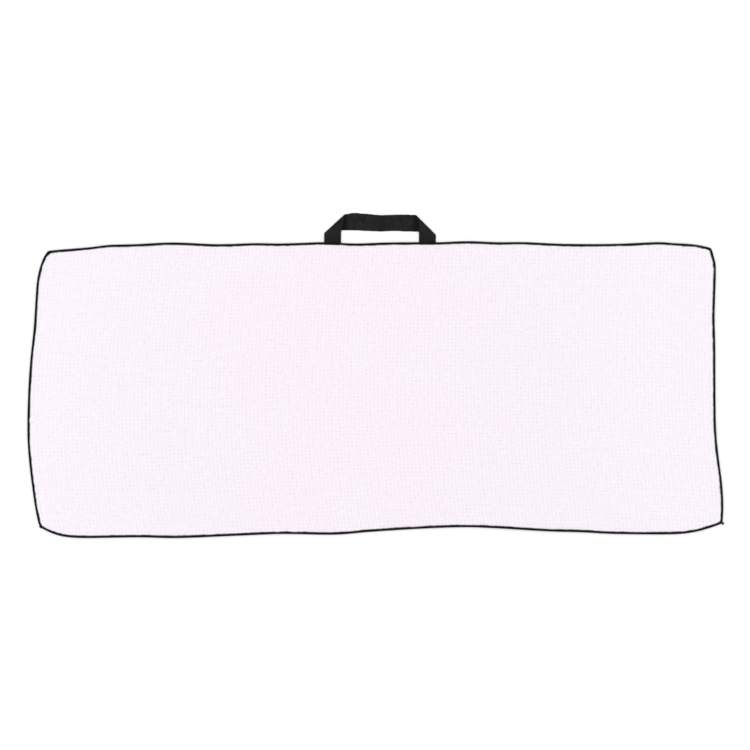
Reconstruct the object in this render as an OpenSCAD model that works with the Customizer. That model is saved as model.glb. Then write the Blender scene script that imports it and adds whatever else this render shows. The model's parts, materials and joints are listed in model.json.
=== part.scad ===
// Golf towel: a waffle-weave microfibre sheet with a black overlocked edge and a webbing hang loop.
// It lies flat and face up on z = 0, long sides along X, with the hang loop near the middle of the +Y side.
// The origin is the centre of the whole footprint, at the surface that the towel lies on.

/* [Towel] */
// Cut length of the cloth, along X
towel_length = 1016; // [1006:2:1016]
// Cut width of the cloth, along Y
towel_width = 432; // [424:1:440]
// Thickness of the cloth over the ribs of the waffle weave
cloth_t = 2.4; // [2.2:0.1:2.5]

/* [Overlocked edge] */
// Width of the band of thread round the edge
band_w = 3.2; // [2.8:0.1:3.6]
// Width of the line of needle stitches on the band's inner side
needle_w = 0.4; // [0.3:0.1:0.6]
// Thickness of one layer of thread
thread_t = 0.3; // [0.2:0.05:0.35]
// Radius of the knots that end the thread at two of the corners
knot_r = 1.4; // [1:0.1:1.6]

/* [Hang loop] */
// Width of the webbing where each leg leaves the cloth
webbing_w = 25; // [24:0.5:26]
// Thickness of the webbing
webbing_t = 1.3; // [1.1:0.1:1.3]
// Distance between the outer edges of the two legs
loop_w = 165.3; // [164:0.1:166]
// Distance from the middle of the towel's length to the middle of the loop
loop_x = 6.6; // [5:0.1:8]
// Length of webbing that is sewn under the edge of the cloth
tail_len = 13; // [10:0.5:20]
// Length of the bar tack that holds each leg
tack_len = 19; // [12:1:22]

/* [Folding] */
// Distance of the left fold, which closes first, from the middle of the length
left_fold_x = 172; // [170:0.5:174]
// Distance of the right fold, which closes over the left wing
right_fold_x = 176; // [174:0.5:180]
// Gap between panels, and between the loop and the cloth, at the lines that they fold on
move_gap = 0.3; // [0.2:0.05:0.4]

/* [Hidden] */
$fn = 48;

cloth_colour = [0.97, 0.94, 0.97];
thread_colour = [0.08, 0.08, 0.09];
webbing_colour = [0.12, 0.12, 0.13];

half_length = towel_length / 2;
half_width = towel_width / 2;
// The hang loop stands out past the +Y side, so the cloth's own middle lies this far towards -Y
cloth_y = -20.3;
big = 2 * towel_length;

function along(s) = s * half_length;
function across(s) = cloth_y + s * half_width;

// How far each side bows outward from a straight cut: [place along the side from -1 to 1, bow]
top_bow = [
    [-0.953, -11], [-0.903, -8.5], [-0.833, -5.5], [-0.775, -2], [-0.7, -1], [-0.59, 1.5], [-0.46, -1],
    [-0.35, 0.5], [-0.27, 0], [-0.15, 2], [-0.06, 0], [0.03, 1.5], [0.14, 2], [0.19, 2], [0.27, 3.5],
    [0.355, 2], [0.44, 2], [0.55, -0.5], [0.7, -0.5], [0.82, 2], [0.87, 0.5], [0.93, -1.5], [0.978, -6.5]
];
right_bow = [
    [0.904, -6.5], [0.816, -4], [0.5, -6], [0.3, -5], [-0.14, -4.5], [-0.33, -3], [-0.5, 1], [-0.64, 5],
    [-0.786, 7], [-0.9, 6]
];
bottom_bow = [
    [1.012, -18], [0.975, -11], [0.925, -4.5], [0.86, -1.5], [0.7, -2], [0.6, -4.5], [0.5, -6],
    [0.35, -10.5], [0.25, -12], [0.12, -9.5], [-0.02, -5], [-0.12, -1], [-0.27, -2], [-0.38, 0], [-0.57, 4],
    [-0.69, 3], [-0.84, 4], [-0.9, 2.5], [-0.94, -2.5], [-0.977, -11.5]
];
left_bow = [
    [-0.9, -8], [-0.763, -2.5], [-0.55, 3.5], [-0.4, 6.5], [-0.24, 7.5], [0, 6], [0.2, 3], [0.42, -2],
    [0.6, -4.5], [0.72, -6], [0.816, -10], [0.9, -16.5]
];

top_side = [for (p = top_bow) [along(p[0]), across(1) + p[1]]];
bottom_side = [for (p = bottom_bow) [along(p[0]), across(-1) - p[1]]];
top_left = top_side[0];
top_right = top_side[len(top_side) - 1];
bottom_right = bottom_side[0];
bottom_left = bottom_side[len(bottom_side) - 1];
right_side = [top_right, for (p = right_bow) [half_length + p[1], across(p[0])], bottom_right];
left_side = [bottom_left, for (p = left_bow) [-half_length - p[1], across(p[0])], top_left];

// A smooth curve through the points of one side, all but its last point
steps = 3;
function at(pts, i) = pts[max(0, min(len(pts) - 1, i))];
function spline(a, b, c, d, t) =
    b + 0.5 * t * (c - a + t * (2 * a - 5 * b + 4 * c - d + t * (3 * (b - c) + d - a)));
function smooth(pts) = [
    for (i = [0 : len(pts) - 2], k = [0 : steps - 1])
        spline(at(pts, i - 1), pts[i], pts[i + 1], at(pts, i + 2), k / steps)
];
laid_edge = concat(smooth(top_side), smooth(right_side), smooth(bottom_side), smooth(left_side));

// Heights of the hang loop's corners, measured from the straight line of the cloth's +Y side
bar_rise = 44.7;
crease_left = [[loop_x - loop_w / 2, across(1) + 15.6], [loop_x - loop_w / 2 + 31, across(1) + 43.6]];
crease_right = [[loop_x + loop_w / 2, across(1) + 12.8], [loop_x + loop_w / 2 - 31, across(1) + 42.6]];
bar_top = [[-37, across(1) + bar_rise], [0, across(1) + 43.2]];
bar_bottom = [
    [loop_x + loop_w / 2 - webbing_w, across(1) + 18.6],
    [loop_x - loop_w / 2 + webbing_w, across(1) + 19.8]
];

// The middle of the whole footprint becomes the origin
edge_x = [for (p = laid_edge) p[0]];
edge_y = [for (p = laid_edge) p[1]];
middle = [(min(edge_x) + max(edge_x)) / 2, (min(edge_y) + across(1) + bar_rise) / 2];
function placed(pts) = [for (p = pts) p - middle];
outline = placed(laid_edge);

// The line to the right of a direction, which is inward on an outline that runs clockwise
function right_of(a, b) = let (u = (b - a) / norm(b - a)) [u[1], -u[0]];
function inset(pts, d) = [
    for (i = [0 : len(pts) - 1])
        let (n = len(pts),
             p = right_of(pts[(i + n - 1) % n], pts[i]),
             q = right_of(pts[i], pts[(i + 1) % n]))
            pts[i] + d * (p + q) / (1 + p * q)
];

// Layers of the overlocked edge: thread above, below and round the thinned rim of the cloth
rim_edge = inset(outline, thread_t);
needle_edge = inset(outline, band_w - needle_w);
band_edge = inset(outline, band_w);
rim_high = cloth_t - thread_t;
loopers_meet = cloth_t / 2;

// The hang loop folds on this line: its sewn tails end before it and its legs begin after it
loop_fold_y = across(1) + 3.75 - middle[1];
tail_y = loop_fold_y - move_gap / 2;
leg_y = loop_fold_y + move_gap / 2;
leg_left_x = loop_x - loop_w / 2 - middle[0];
leg_right_x = loop_x + loop_w / 2 - webbing_w - middle[0];
ramp_end_y = leg_y + 7.5;
layer_gap = 0.05;
over_z = webbing_t + layer_gap;
fold_r = (over_z + webbing_t) / 2;
fold_step = 30;

pocket_gap = 0.2;
pad_margin = 1.6;
tack_t = 0.4;
tack_inset = 0.6;
// The band ends against a knot at both of its lower corners
knot_left_at = bottom_left - middle + [0.4, 1.1];
knot_right_at = bottom_right - middle + [0.2, -0.3];
knot_gap = 0.2;
knot_end_r = 0.4;
knot_end_len = 2.6;

// The part of the children between two places along X and two along Y
module slice(from_x, to_x, from_y = -big, to_y = big) {
    intersection() {
        children();
        translate([from_x, from_y, -big])
            cube([to_x - from_x, to_y - from_y, 2 * big]);
    }
}

module left_slice() {
    slice(-big, -left_fold_x - move_gap / 2)
        children();
}

module right_slice() {
    slice(right_fold_x + move_gap / 2, big)
        children();
}

module centre_slice(from_y = -big, to_y = big) {
    slice(-left_fold_x + move_gap / 2, right_fold_x - move_gap / 2, from_y, to_y)
        children();
}

// A layer of the band, from one outline in to another
module ring(outer, inner, low, high) {
    translate([0, 0, low])
        linear_extrude(high - low)
            difference() {
                polygon(outer);
                polygon(inner);
            }
}

module slab(edge, low, high) {
    translate([0, 0, low])
        linear_extrude(high - low)
            polygon(edge);
}

// Space of the two sewn tails, widened by a margin and opened past the cloth's edge
module tail_space(margin, low, high) {
    for (x = [leg_left_x, leg_right_x])
        translate([x - margin, tail_y - tail_len - margin, low])
            cube([webbing_w + 2 * margin, tail_len + 2 * margin + webbing_w, high - low]);
}

module pockets() {
    tail_space(pocket_gap, -1, over_z);
}

module knot_space() {
    for (at = [knot_left_at, knot_right_at])
        translate([at[0], at[1], -1])
            cylinder(r = knot_r + knot_gap, h = cloth_t + 2);
}

module cloth_sheet() {
    slab(band_edge, 0, cloth_t);
    slab(rim_edge, thread_t, rim_high);
}

// The cloth rises over the webbing that is sewn beneath it
module tail_pads() {
    intersection() {
        slab(band_edge, 0, cloth_t + over_z);
        tail_space(pad_margin, thread_t, cloth_t + over_z);
    }
}

module cloth_centre() {
    color(cloth_colour)
        difference() {
            centre_slice() {
                cloth_sheet();
                tail_pads();
            }
            pockets();
        }
}

module cloth_left() {
    color(cloth_colour)
        difference() {
            left_slice()
                cloth_sheet();
            knot_space();
        }
}

module cloth_right() {
    color(cloth_colour)
        difference() {
            right_slice()
                cloth_sheet();
            knot_space();
        }
}

module upper_looper() {
    difference() {
        union() {
            ring(outline, needle_edge, rim_high, cloth_t);
            ring(outline, rim_edge, loopers_meet, cloth_t);
        }
        pockets();
        knot_space();
    }
}

module lower_looper() {
    difference() {
        union() {
            ring(outline, band_edge, 0, thread_t);
            ring(outline, rim_edge, 0, loopers_meet);
        }
        pockets();
        knot_space();
    }
}

module needle_thread() {
    difference() {
        ring(needle_edge, band_edge, rim_high, cloth_t);
        knot_space();
    }
}

module upper_looper_top() {
    color(thread_colour)
        centre_slice(from_y = 0)
            upper_looper();
}

module upper_looper_bottom() {
    color(thread_colour)
        centre_slice(to_y = 0)
            upper_looper();
}

module upper_looper_left() {
    color(thread_colour)
        left_slice()
            upper_looper();
}

module upper_looper_right() {
    color(thread_colour)
        right_slice()
            upper_looper();
}

module lower_looper_top() {
    color(thread_colour)
        centre_slice(from_y = 0)
            lower_looper();
}

module lower_looper_bottom() {
    color(thread_colour)
        centre_slice(to_y = 0)
            lower_looper();
}

module lower_looper_left() {
    color(thread_colour)
        left_slice()
            lower_looper();
}

module lower_looper_right() {
    color(thread_colour)
        right_slice()
            lower_looper();
}

module needle_thread_top() {
    color(thread_colour)
        centre_slice(from_y = 0)
            needle_thread();
}

module needle_thread_bottom() {
    color(thread_colour)
        centre_slice(to_y = 0)
            needle_thread();
}

module needle_thread_left() {
    color(thread_colour)
        left_slice()
            needle_thread();
}

module needle_thread_right() {
    color(thread_colour)
        right_slice()
            needle_thread();
}

// A knot just outside a corner, with its cut end pointing away from the cloth
module thread_knot(at, heading) {
    color(thread_colour)
        translate([at[0], at[1], knot_r]) {
            sphere(knot_r);
            rotate([0, 90, heading])
                cylinder(r = knot_end_r, h = knot_end_len);
        }
}

module thread_knot_left() {
    thread_knot(knot_left_at, 250);
}

module thread_knot_right() {
    thread_knot(knot_right_at, 300);
}

module strap_tail(x) {
    translate([x, tail_y - tail_len, 0])
        cube([webbing_w, tail_len, webbing_t]);
}

module strap_tail_left() {
    color(webbing_colour)
        strap_tail(leg_left_x);
}

module strap_tail_right() {
    color(webbing_colour)
        strap_tail(leg_right_x);
}

// Dense stitching on the band, over the sewn end of one leg
module bar_tack(x) {
    from_x = x + (webbing_w - tack_len) / 2;
    slice(from_x, from_x + tack_len, 0, big)
        ring(inset(outline, tack_inset), needle_edge, cloth_t, cloth_t + tack_t);
}

module bar_tack_left() {
    color(thread_colour)
        bar_tack(leg_left_x);
}

module bar_tack_right() {
    color(thread_colour)
        bar_tack(leg_right_x);
}

// The rounded outer side of a mitred corner, where the webbing turns back under itself
module mitre_fold(from, to) {
    run = to - from;
    translate([from[0], from[1], fold_r])
        rotate([0, 0, atan2(run[1], run[0])])
            rotate([90, 0, 90])
                linear_extrude(norm(run))
                    polygon([for (a = [-90 : fold_step : 90]) fold_r * [cos(a), sin(a)]]);
}

// A crease drawn inward by the radius of its fold
function fold_line(a, b) = let (n = right_of(a, b) * fold_r) [a + n - middle, b + n - middle];
fold_left = fold_line(crease_left[0], crease_left[1]);
fold_right = fold_line(crease_right[1], crease_right[0]);

// One leg: flat where it leaves the cloth, then rising to lie over the bar, up to its mitred end
module strap_leg(x, mitre) {
    plan = concat([[x, leg_y], [x + webbing_w, leg_y]], mitre);
    intersection() {
        slab(plan, 0, big);
        translate([x - webbing_w, 0, 0])
            rotate([90, 0, 90])
                linear_extrude(3 * webbing_w)
                    polygon([
                        [leg_y, 0], [ramp_end_y, over_z], [ramp_end_y + webbing_w * 2, over_z],
                        [ramp_end_y + webbing_w * 2, over_z + webbing_t], [ramp_end_y, over_z + webbing_t],
                        [leg_y, webbing_t]
                    ]);
    }
}

module strap_leg_left() {
    shoulder = [leg_left_x + webbing_w, bar_bottom[1][1] - middle[1]];
    color(webbing_colour) {
        strap_leg(leg_left_x, [shoulder, fold_left[1], fold_left[0]]);
        mitre_fold(fold_left[0], fold_left[1]);
    }
}

module strap_leg_right() {
    shoulder = [leg_right_x, bar_bottom[0][1] - middle[1]];
    color(webbing_colour) {
        strap_leg(leg_right_x, [fold_right[1], fold_right[0], shoulder]);
        mitre_fold(fold_right[0], fold_right[1]);
    }
}

module strap_bar() {
    color(webbing_colour)
        slab(concat(fold_left, placed(bar_top), fold_right, placed(bar_bottom)), 0, webbing_t);
}

cloth_centre();
cloth_left();
cloth_right();
upper_looper_top();
upper_looper_bottom();
upper_looper_left();
upper_looper_right();
lower_looper_top();
lower_looper_bottom();
lower_looper_left();
lower_looper_right();
needle_thread_top();
needle_thread_bottom();
needle_thread_left();
needle_thread_right();
thread_knot_left();
thread_knot_right();
strap_tail_left();
strap_tail_right();
bar_tack_left();
bar_tack_right();
strap_leg_left();
strap_leg_right();
strap_bar();
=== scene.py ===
"""Looks of the golf towel: waffle cloth, overlocked edge, and the mitred webbing loop."""
import json
import math

import bpy
import numpy as np
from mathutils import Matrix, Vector
from mathutils.kdtree import KDTree

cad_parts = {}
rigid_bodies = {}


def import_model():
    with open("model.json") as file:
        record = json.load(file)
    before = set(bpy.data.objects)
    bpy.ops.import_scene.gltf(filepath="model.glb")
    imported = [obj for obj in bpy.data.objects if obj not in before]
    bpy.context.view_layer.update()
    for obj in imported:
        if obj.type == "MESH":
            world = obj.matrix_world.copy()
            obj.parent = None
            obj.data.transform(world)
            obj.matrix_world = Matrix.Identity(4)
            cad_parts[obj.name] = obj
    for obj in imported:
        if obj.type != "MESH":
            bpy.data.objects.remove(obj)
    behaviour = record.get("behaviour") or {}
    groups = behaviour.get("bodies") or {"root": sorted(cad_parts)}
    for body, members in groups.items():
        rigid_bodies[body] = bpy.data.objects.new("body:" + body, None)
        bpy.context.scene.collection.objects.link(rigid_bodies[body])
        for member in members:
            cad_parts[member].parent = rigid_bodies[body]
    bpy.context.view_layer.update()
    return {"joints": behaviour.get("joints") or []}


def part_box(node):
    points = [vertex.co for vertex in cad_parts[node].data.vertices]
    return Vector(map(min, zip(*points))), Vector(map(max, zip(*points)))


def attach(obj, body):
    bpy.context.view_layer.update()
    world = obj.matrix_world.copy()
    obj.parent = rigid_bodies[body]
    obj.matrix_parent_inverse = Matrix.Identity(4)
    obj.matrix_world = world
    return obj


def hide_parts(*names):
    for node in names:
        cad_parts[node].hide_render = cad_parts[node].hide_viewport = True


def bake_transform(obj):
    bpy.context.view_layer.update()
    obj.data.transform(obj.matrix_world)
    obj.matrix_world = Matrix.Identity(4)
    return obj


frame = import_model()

MM = 0.001
TURN = 2 * math.pi
JOINTS = {j["name"]: j for j in frame["joints"]}

# ------------------------------------------------------------------ sizes, in metres

LENGTH, WIDTH = 1016 * MM, 432 * MM   # the cloth as it was cut
CLOTH_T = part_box("cloth_left")[1].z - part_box("cloth_left")[0].z
RIM_DROP = 0.3 * MM                   # how much each face of the cloth gives way under the thread
BAND_W = 3.35 * MM                    # width of the overlocked band
CELLS = (178, 76)                     # waffle cells along and across
PITCH = (LENGTH / CELLS[0], WIDTH / CELLS[1])
PER_CELL = 3                          # mesh steps in one cell
FRONT_DEPTH, BACK_DEPTH = 1.0 * MM, 0.8 * MM   # how deep the cells are on each face
EDGE_STEP = 1 * MM                    # spacing of the points that stand for the laid edge
CORNER_SMOOTH = 3                     # half-width, in points, of the smoothing that rounds the corners

WEBBING_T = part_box("strap_bar")[1].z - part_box("strap_bar")[0].z
LAYER_Z = WEBBING_T + 0.05 * MM       # how far the legs lie above the bar that passes under them

# ------------------------------------------------------------------ the laid edge

# How far each side bows outward from a straight cut: (place along the side from -1 to 1, bow in mm)
TOP_BOW = [
    (-0.9546, -10.8), (-0.903, -8.5), (-0.833, -5.5), (-0.775, -2), (-0.7, -1), (-0.59, 1.5), (-0.46, -1),
    (-0.35, 0.5), (-0.27, 0), (-0.15, 2), (-0.06, 0), (0.03, 1.5), (0.14, 2), (0.19, 2), (0.27, 3.5),
    (0.355, 2), (0.44, 2), (0.55, -0.5), (0.7, -0.5), (0.82, 2), (0.87, 0.5), (0.93, -1.5), (0.978, -6.5),
]
RIGHT_BOW = [
    (0.904, -6.8), (0.816, -4.15), (0.5, -6.05), (0.3, -5), (-0.14, -4.5), (-0.33, -3), (-0.5, 1),
    (-0.64, 5), (-0.786, 7), (-0.9, 6),
]
BOTTOM_BOW = [
    (1.012, -18), (0.975, -11), (0.925, -4.5), (0.86, -1.5), (0.7, -2), (0.6, -4.5), (0.5, -6),
    (0.35, -10.5), (0.25, -12), (0.12, -9.5), (-0.02, -5), (-0.12, -1), (-0.27, -2), (-0.38, 0), (-0.57, 4),
    (-0.69, 3), (-0.84, 4), (-0.9, 2.5), (-0.94, -2.5), (-0.977, -11.5),
]
LEFT_BOW = [
    (-0.9, -8), (-0.763, -2.5), (-0.55, 3.5), (-0.4, 6.5), (-0.24, 7.5), (0, 6), (0.2, 3), (0.42, -2),
    (0.6, -4.5), (0.72, -6.35), (0.816, -9.95), (0.9, -16.3),
]


def smooth_curve(points, steps=24):
    """A Catmull-Rom curve through points, all but its last point."""
    p = np.array([points[0], *points, points[-1]], float)
    t = (np.arange(steps) / steps)[None, :, None]
    a, b, c, d = (p[i : len(p) - 3 + i, None, :] for i in range(4))
    curve = b + 0.5 * t * (c - a + t * (2 * a - 5 * b + 4 * c - d + t * (3 * (b - c) + d - a)))
    return curve.reshape(-1, 2)


def laid_edge():
    """The cloth's outline, clockwise from the top left corner, round the middle of the flat cloth."""
    half = np.array([LENGTH, WIDTH]) / 2
    top = [(s * half[0], half[1] + b * MM) for s, b in TOP_BOW]
    bottom = [(s * half[0], -half[1] - b * MM) for s, b in BOTTOM_BOW]
    right = [top[-1], *((half[0] + b * MM, s * half[1]) for s, b in RIGHT_BOW), bottom[0]]
    left = [bottom[-1], *((-half[0] - b * MM, s * half[1]) for s, b in LEFT_BOW), top[0]]
    return np.concatenate([smooth_curve(side) for side in (top, right, bottom, left)])


def closed_resample(points, step):
    """Evenly spaced points on the closed line, about step apart."""
    loop = np.vstack([points, points[:1]])
    along = np.concatenate([[0], np.cumsum(np.linalg.norm(np.diff(loop, axis=0), axis=1))])
    at = np.linspace(0, along[-1], round(along[-1] / step), endpoint=False)
    return np.stack([np.interp(at, along, loop[:, k]) for k in range(2)], axis=1)


def round_off(points, reach):
    """The closed line with each point replaced by the mean of its neighbourhood."""
    return np.mean([np.roll(points, k, axis=0) for k in range(-reach, reach + 1)], axis=0)


def unit(vectors):
    """The vectors at length 1. Those of no length stay so."""
    return vectors / np.maximum(np.linalg.norm(vectors, axis=-1, keepdims=True), TINY)


def inward(edge):
    """The direction into the cloth at each point of its outline."""
    ahead = unit(np.roll(edge, -1, axis=0) - np.roll(edge, 1, axis=0))
    return unit(round_off(np.stack([ahead[:, 1], -ahead[:, 0]], axis=1), CORNER_SMOOTH))


def tree_of(points):
    tree = KDTree(len(points))
    for i, (x, y) in enumerate(points):
        tree.insert((x, y, 0), i)
    tree.balance()
    return tree


TINY = 1e-15     # lengths under this count as none
CUT_EDGE = laid_edge()
BAND_LOW, BAND_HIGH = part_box("lower_looper_left")[0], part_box("lower_looper_right")[1]
# The CAD's band of thread places the outline
CENTRE = np.array([
    (BAND_LOW.x + BAND_HIGH.x - CUT_EDGE[:, 0].min() - CUT_EDGE[:, 0].max()) / 2,
    BAND_LOW.y - CUT_EDGE[:, 1].min(),
])
EDGE = closed_resample(round_off(closed_resample(CUT_EDGE + CENTRE, EDGE_STEP), CORNER_SMOOTH), EDGE_STEP)
EDGE_IN = inward(EDGE)
EDGE_LENGTH = float(np.linalg.norm(np.roll(EDGE, -1, axis=0) - EDGE, axis=1).sum())
EDGE_TREE = tree_of(EDGE)


def on_edge(along, inset):
    """Points at distances along the laid edge, moved inward by inset."""
    i = np.asarray(along) / EDGE_LENGTH * len(EDGE)
    low = np.floor(i).astype(int)
    f = (i - low)[:, None]
    a, b = low % len(EDGE), (low + 1) % len(EDGE)
    into = EDGE_IN[a] * (1 - f) + EDGE_IN[b] * f
    return EDGE[a] * (1 - f) + EDGE[b] * f + into * np.asarray(inset)[:, None]


def edge_distance(points):
    """How far inside the laid edge each point is, and the index of its nearest place on the edge."""
    near = np.array([EDGE_TREE.find((x, y, 0))[1] for x, y in points], int)
    return ((points - EDGE[near]) * EDGE_IN[near]).sum(1), near


# ------------------------------------------------------------------ the cloth's rise off the floor


def smoothstep(x):
    x = np.clip(x, 0, 1)
    return x * x * (3 - 2 * x)


# Soft waves left in a towel that was shaken out: (height in mm, waves per metre in x and in y, phase)
WAVES = [(0.13, 2.1, 1.3, 0.4), (0.10, -1.2, 3.7, 2.1), (0.07, 5.3, 2.2, 4.0), (0.06, 3.1, -6.1, 1.0)]
TAILS = [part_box("strap_tail_left"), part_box("strap_tail_right")]
PAD_SOFT = 4 * MM     # how far the bump over a sewn tail takes to die away


def rise(points):
    """How far the cloth's underside stands off the floor."""
    x, y = points[:, 0], points[:, 1]
    waves = sum(h * (1 + np.sin(TURN * (u * x + v * y) + p)) for h, u, v, p in WAVES) * MM
    over = np.zeros(len(points))
    for low, high in TAILS:
        beyond_x = np.maximum(np.maximum(low.x - x, x - high.x), 0)
        beyond_y = np.maximum(low.y - y, 0)
        over = np.maximum(over, 1 - smoothstep(np.hypot(beyond_x, beyond_y) / PAD_SOFT))
    return waves * (1 - over) + over * LAYER_Z


# ------------------------------------------------------------------ mesh helpers


def new_piece(name, points, faces, uv=None, attributes=None, normals=None):
    """A smooth mesh object from points and quads; uv is given per point."""
    points, faces = np.asarray(points, np.float32), np.asarray(faces, np.int32)
    mesh = bpy.data.meshes.new(name)
    mesh.vertices.add(len(points))
    mesh.vertices.foreach_set("co", points.ravel())
    mesh.loops.add(faces.size)
    mesh.loops.foreach_set("vertex_index", faces.ravel())
    mesh.polygons.add(len(faces))
    mesh.polygons.foreach_set("loop_start", np.arange(0, faces.size, 4, dtype=np.int32))
    mesh.update(calc_edges=True)
    mesh.polygons.foreach_set("use_smooth", np.ones(len(faces), bool))
    if uv is not None:
        layer = mesh.uv_layers.new(name="weave")
        layer.data.foreach_set("uv", np.asarray(uv, np.float32)[faces.ravel()].ravel())
    for key, values in (attributes or {}).items():
        mesh.attributes.new(key, "FLOAT", "POINT").data.foreach_set("value", np.asarray(values, np.float32))
    mesh.validate()
    if normals is not None:
        mesh.normals_split_custom_set_from_vertices(np.asarray(normals, np.float32))
    piece = bpy.data.objects.new(name, mesh)
    bpy.context.scene.collection.objects.link(piece)
    return piece


def grid_quads(rows, columns):
    """The quads of a grid of points that are numbered row by row."""
    i, k = np.meshgrid(np.arange(rows - 1), np.arange(columns - 1), indexing="ij")
    corner = i * columns + k
    return np.stack([corner, corner + 1, corner + columns + 1, corner + columns], axis=-1).reshape(-1, 4)


def tube(path, width, height, sides, up=(0, 0, 1)):
    """Points, quads and uv of a tube of elliptical section along path, drawn to a point at both ends."""
    # Each end comes twice. The path has no direction there, so the end rings shrink to points.
    path = np.asarray(path, float)
    path = np.concatenate([path[:1], path, path[-1:]])
    n = len(path)
    up = np.broadcast_to(up, (n - 2, 3))
    up = np.concatenate([up[:1], up, up[-1:]])
    ahead = unit(np.gradient(path, axis=0))
    side = unit(np.cross(ahead, up))
    top = np.cross(side, ahead)
    turn = TURN * np.arange(sides) / sides
    ring = (
        path[:, None, :]
        + side[:, None, :] * (np.cos(turn) * width / 2)[None, :, None]
        + top[:, None, :] * (np.sin(turn) * height / 2)[None, :, None]
    )
    i, k = np.meshgrid(np.arange(n - 1), np.arange(sides), indexing="ij")
    k2 = (k + 1) % sides
    quads = np.stack([i * sides + k, i * sides + k2, (i + 1) * sides + k2, (i + 1) * sides + k], axis=-1)
    along = np.concatenate([[0], np.cumsum(np.linalg.norm(np.diff(path, axis=0), axis=1))])
    uv = np.stack([np.repeat(along, sides), np.tile(turn / TURN, n)], axis=1)
    return ring.reshape(-1, 3), quads.reshape(-1, 4), uv


def joined(parts):
    """Several (points, quads, uv) as one."""
    points, quads, uvs, base = [], [], [], 0
    for p, q, u in parts:
        points.append(p)
        quads.append(q + base)
        uvs.append(u)
        base += len(p)
    return np.concatenate(points), np.concatenate(quads), np.concatenate(uvs)


def put(parts, name, body, material, replaced):
    """A piece made of parts. The rest is as in finish_piece."""
    finish_piece(new_piece(name, *joined(parts)), body, material, replaced)


def finish_piece(piece, body, material, replaced):
    """Gives it its material and slot, hides its CAD nodes, and hangs it from its body, a name. Given
    (parent, child, start, end) instead, it stays loose with its place baked in.
    """
    piece.data.materials.append(material)
    if isinstance(body, str):
        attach(piece, body)
    else:
        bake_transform(piece)
    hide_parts(*replaced)


# ------------------------------------------------------------------ materials

CLOTH_COLOUR = (0.865, 0.811, 0.872)    # on the ribs, at the towel's ends
CLOTH_PINK = (0.855, 0.785, 0.852)      # on the ribs, in its middle
THREAD_COLOUR = (0.004, 0.004, 0.005)
WEBBING_COLOUR = (0.0085, 0.0085, 0.0095)
# How far left of the middle the cloth is pinkest, and how far from there the pink reaches
PINK_AT, PINK_REACH = 45 * MM, 460 * MM
# Patterns in the cloth's colour: (size, detail, the part of the noise's range that is used, what it becomes)
PINK_SHARE = (160 * MM, 1.0, (0.3, 0.7), (0.8, 1.2))        # how strong the pink is
PIT_SHADE_SHARE = (7 * MM, 1.0, (0.35, 0.65), (0.5, 1.5))         # how strong the painted shade in the cells is
LONG_DARKER = (28 * MM, 2.0, (0.4, 0.6), (0.018, 0.058))    # how dark the ribs along the length are
TUFTS = (1.8 * MM, 1.0, (0.25, 0.75), (0.938, 1.057))       # lightness of single tufts
FIBRES = (0.7 * MM, 2.0, (0.3, 0.7), (0.98, 1.01))          # lightness of fibres
YARN_SHADES = (0.965, 1.013)       # lightness between the yarns, and on top of them
PIT_PAINTED_SHADE = 0.112                 # painted shade: how much darker a cell's bottom is drawn than the ribs round it
CROSS_DARKER = 0.018               # how much darker the ribs across the length are
YARN = 0.55 * MM                   # spacing of the yarns inside a waffle cell
PILE, PILE_RELIEF = 0.3 * MM, 3.0  # size of the pile's tufts, and how high they stand next to the yarns
PLY_PITCH = 1.2 * MM               # length of one turn of the thread's plies
FUZZ, FUZZ_RELIEF = 0.4 * MM, 0.4  # size of the thread's fuzz, and how high it stands next to the plies
THREAD_SHADES = (0.6, 1.6)         # lightness under the fuzz, and on it
WARP_PITCH = 1.25 * MM             # spacing of the yarns that run along the webbing
PICK_PITCH = 1.9 * MM              # length after which a yarn of the webbing repeats
PICK_DIVE = 0.6                    # how much of its height a yarn loses under the picks
FILAMENT, FILAMENT_RELIEF = 0.35 * MM, 0.35    # the webbing's filaments, as for the fuzz
# Dust and handling on the webbing, and the yarns' tops drawn a little paler: sizes of the patches and
# # flecks, how much the patches and the yarns' tops count beside the flecks, the part of the sum's range that
# # shows, and the lightness where the webbing is clean and where it is worn
PATCH, FLECK = 9 * MM, 2.6 * MM
PATCH_WEAR, YARN_TOP_PALER = 0.6, 0.25
WORN = (0.65, 1.2)
WEBBING_SHADES = (0.15, 2.0)
BAR_SHADE_LIGHTNESS = 0.05                # lightness of the painted shade on the bar beside the legs and in its crease
SPECULAR, SHEEN_ROUGHNESS, NOISE_ROUGHNESS = 0.12, 0.4, 0.6
MIX_FACTOR, MIX_A, MIX_B, MIX_RESULT = 0, 6, 7, 2    # the Mix node's sockets for colours


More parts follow.
